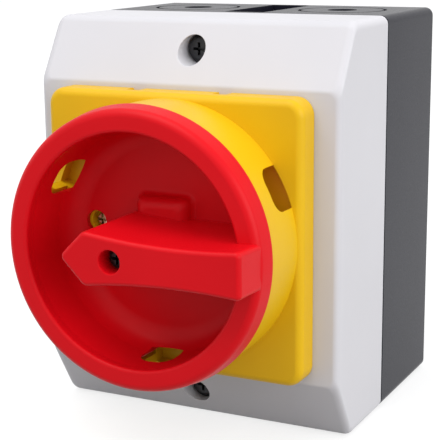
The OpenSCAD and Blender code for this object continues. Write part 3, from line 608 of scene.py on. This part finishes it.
def softHub(k):  # block round the shaft socket, flared at its foot and rounded at its top
    steps = 5
    foot = k["hubFlare"]
    loops = [roundedBox(k["hubW"] + foot, k["hubH"] + foot, k["hubFootR"], k["floor"] - past)]
    for i in range(steps + 1):
        a = math.pi / 2 * i / steps
        grow = foot * (1 - math.sin(a))
        loops.append(roundedBox(k["hubW"] + grow, k["hubH"] + grow, k["hubR"] + grow * 0.5,
                                k["floor"] - 0.02 + foot * (1 - math.cos(a))))
    for i in range(steps + 1):
        a = math.pi / 2 * i / steps
        drop = k["hubRound"] * (1 - math.cos(a))
        loops.append(roundedBox(k["hubW"] - drop, k["hubH"] - drop, k["hubR"],
                                k["hubTop"] - k["hubRound"] * (1 - math.sin(a))))
    return loft("hub", loops)


def makeKnob(k):
    section = softPath([(k["core"], k["back"]), (k["cupR"], k["back"], k["cupRound"], 3),
                        (k["cupR"], k["rimBack"]), (k["rimR"], k["rimBack"], k["rimBackRound"], 4),
                        (k["rimFace"], k["rimFront"], k["rimRound"], 8),
                        (k["mouthR"], k["rimFront"], k["lip"], 6),
                        (k["bowlR"], k["rimFront"] - k["bowlStart"], k["bowlRound"], 5),
                        (k["footR"], k["floor"], k["fillet"], 10), (k["core"], k["floor"])], False)
    cup = lathe("knobCup", section, 160)
    low, high = k["back"] - past, k["floor"] + k["windowH"]
    for turn, half, start in k["windows"]:
        reaches = (start, *k["windowReach"])
        carve(cup, archCut(half, low, high, k["windowR"], reaches, turn, k["windowFlare"]))
    carve(cup, lathe("peep", [(k["peepR"], low), (k["peepR"], k["floor"] + past)], 40, at=k["peep"]))
    weld(cup, softHub(k), softBar(k))
    half = k["socketHalf"]
    carve(cup, block("socket", (-half, low, -half), (half, k["socketEnd"], half)))
    hole = [(k["threadR"], k["socketEnd"] - past), (k["threadR"], k["seat"]), (k["holeR"], k["seat"])]
    hole += [(k["holeR"] + r, k["barFront"] + d) for r, d in k["holeEdge"]]
    carve(cup, lathe("screw hole", hole, 48))
    settle(cup, "turning_set", "red_plastic", "knob")


makeKnob(knobLook)
print("knob made")

# screws

screwLook = {
    "coverScrews": dict(node="cover_screws", slot="black_steel", body="case", spots=((0, 40.5), (0, -40.5)),
                        seat=52.5, headR=3.1, headT=3.2, threadR=1.95, length=27.0),
    "knobScrew": dict(node="knob_screw", slot="black_steel", body="turning_set", spots=((0, 0),), seat=91.8,
                      headR=2.3, headT=2.4, threadR=1.45, length=19.7),
    "plateScrews": dict(node="plate_screws", slot="zinc_steel", body="case",
                        spots=((18.4, -1.8), (-18.4, 1.8)), seat=68.4,
                        headR=1.6, headT=1.4, threadR=1.2, length=11.9),
}
cross = {"armHalf": 1.7, "width": 0.36, "deep": 1.5, "footHalf": 0.935, "footWidth": 0.252, "above": 0.5}
thread = {"pitch": 0.7, "bite": 0.22, "tip": 0.6, "start": 0.4, "runOut": 1.2, "neck": 0.8}


def makeScrew(name, s, spot):
    top = s["seat"] + s["headT"]
    end = s["seat"] - s["length"]
    profile = [(s["threadR"] * thread["tip"], end)]
    d = end + thread["start"]
    while d < s["seat"] - thread["runOut"]:  # thread drawn as close rings
        profile += [(s["threadR"], d), (s["threadR"] - thread["bite"], d + thread["pitch"] / 2)]
        d += thread["pitch"]
    profile += [(s["threadR"], s["seat"] - thread["neck"]), (s["threadR"], s["seat"])]
    profile += softPath([(s["threadR"], s["seat"]), (s["headR"], s["seat"], 0.2, 3),
                         (s["headR"], top, min(1.0, s["headT"] * 0.4), 6), (0.8, top)], False)[1:]
    screw = lathe(name, profile, 40, at=spot)
    for turn in (0, 90):
        a = math.radians(turn)
        loops = []
        for deep, long, thin in ((cross["deep"], cross["footHalf"], cross["footWidth"]),
                                 (-cross["above"], cross["armHalf"], cross["width"])):
            flat = ((-long, -thin), (long, -thin), (long, thin), (-long, thin))
            loops.append([(spot[0] + u * math.cos(a) - v * math.sin(a), top - deep,
                           spot[1] + u * math.sin(a) + v * math.cos(a)) for u, v in flat])
        carve(screw, loft("cross", loops))
    return screw


def makeScrews(name, s):
    first, *others = [makeScrew(name, s, spot) for spot in s["spots"]]
    weld(first, *others)
    settle(first, s["body"], s["slot"], s["node"])


for name, s in screwLook.items():
    makeScrews(name, s)
print("screws made")

# stage and light

stageLook = {
    "floor": -47.5, "floorGap": 0.2, "reach": 5.0, "floorColour": (0.31, 0.31, 0.31), "floorLift": 0.75,
    "worldColour": (0.97, 0.98, 1.0), "worldLight": 0.86,
}
lamps = {
    "top": dict(place=(-0.25, -0.60, 1.35), size=1.2, power=11.1),
    "right": dict(place=(1.24, -0.36, 0.42), size=1.2, power=10.8),
}
lampAim = (0, 60, 0)


def seenByRay(tree):  # one for camera, glossy and transmission rays
    path = tree.nodes.new("ShaderNodeLightPath")
    first = tree.nodes.new("ShaderNodeMath")
    second = tree.nodes.new("ShaderNodeMath")
    for node in (first, second):
        node.operation = "MAXIMUM"
    wire(tree, path, "Is Camera Ray", first, 0)
    wire(tree, path, "Is Glossy Ray", first, 1)
    wire(tree, first, "Value", second, 0)
    wire(tree, path, "Is Transmission Ray", second, 1)
    return second


def makeStage(s):
    z = (s["floor"] - s["floorGap"]) * mm
    reach = s["reach"]
    bm = bmesh.new()
    corners = ((-reach, -reach), (reach, -reach), (reach, reach), (-reach, reach))
    bm.faces.new([bm.verts.new((x, y, z)) for x, y in corners])
    floor = newPiece("floor", bm)
    mat = bpy.data.materials.new("paleFloor")
    mat.use_nodes = True
    tree = mat.node_tree
    tree.nodes.clear()
    out = tree.nodes.new("ShaderNodeOutputMaterial")
    matte = tree.nodes.new("ShaderNodeBsdfDiffuse")
    matte.inputs["Color"].default_value = (*s["floorColour"], 1)
    lift = tree.nodes.new("ShaderNodeEmission")
    both = tree.nodes.new("ShaderNodeAddShader")
    seen = seenByRay(tree)
    strength = tree.nodes.new("ShaderNodeMath")
    strength.operation = "MULTIPLY"
    strength.inputs[1].default_value = s["floorLift"]
    wire(tree, seen, "Value", strength, 0)
    wire(tree, strength, "Value", lift, "Strength")
    wire(tree, matte, "BSDF", both, 0)
    wire(tree, lift, "Emission", both, 1)
    wire(tree, both, "Shader", out, "Surface")
    floor.data.materials.append(mat)


def makeWorld(s):
    world = bpy.data.worlds.new("studio")
    scene.world = world
    world.use_nodes = True
    tree = world.node_tree
    tree.nodes.clear()
    out = tree.nodes.new("ShaderNodeOutputWorld")
    soft = tree.nodes.new("ShaderNodeBackground")
    soft.inputs["Color"].default_value = (*s["worldColour"], 1)
    soft.inputs["Strength"].default_value = s["worldLight"]
    white = tree.nodes.new("ShaderNodeBackground")
    white.inputs["Color"].default_value = (1, 1, 1, 1)
    white.inputs["Strength"].default_value = 1.0
    mix = tree.nodes.new("ShaderNodeMixShader")
    wire(tree, seenByRay(tree), "Value", mix, "Fac")
    wire(tree, soft, "Background", mix, 1)
    wire(tree, white, "Background", mix, 2)
    wire(tree, mix, "Shader", out, "Surface")


def makeLamps(rows, aim):
    target = place(*aim)
    for name, lamp in rows.items():
        data = bpy.data.lights.new(name, "AREA")
        data.shape = "DISK"
        data.size = lamp["size"]
        data.energy = lamp["power"]
        light = bpy.data.objects.new(name, data)
        scene.collection.objects.link(light)
        light.location = lamp["place"]
        light.rotation_euler = (target - Vector(lamp["place"])).to_track_quat("-Z", "Y").to_euler()


makeStage(stageLook)
makeWorld(stageLook)
makeLamps(lamps, lampAim)
scene.view_settings.view_transform = "Standard"
print("stage and light made")
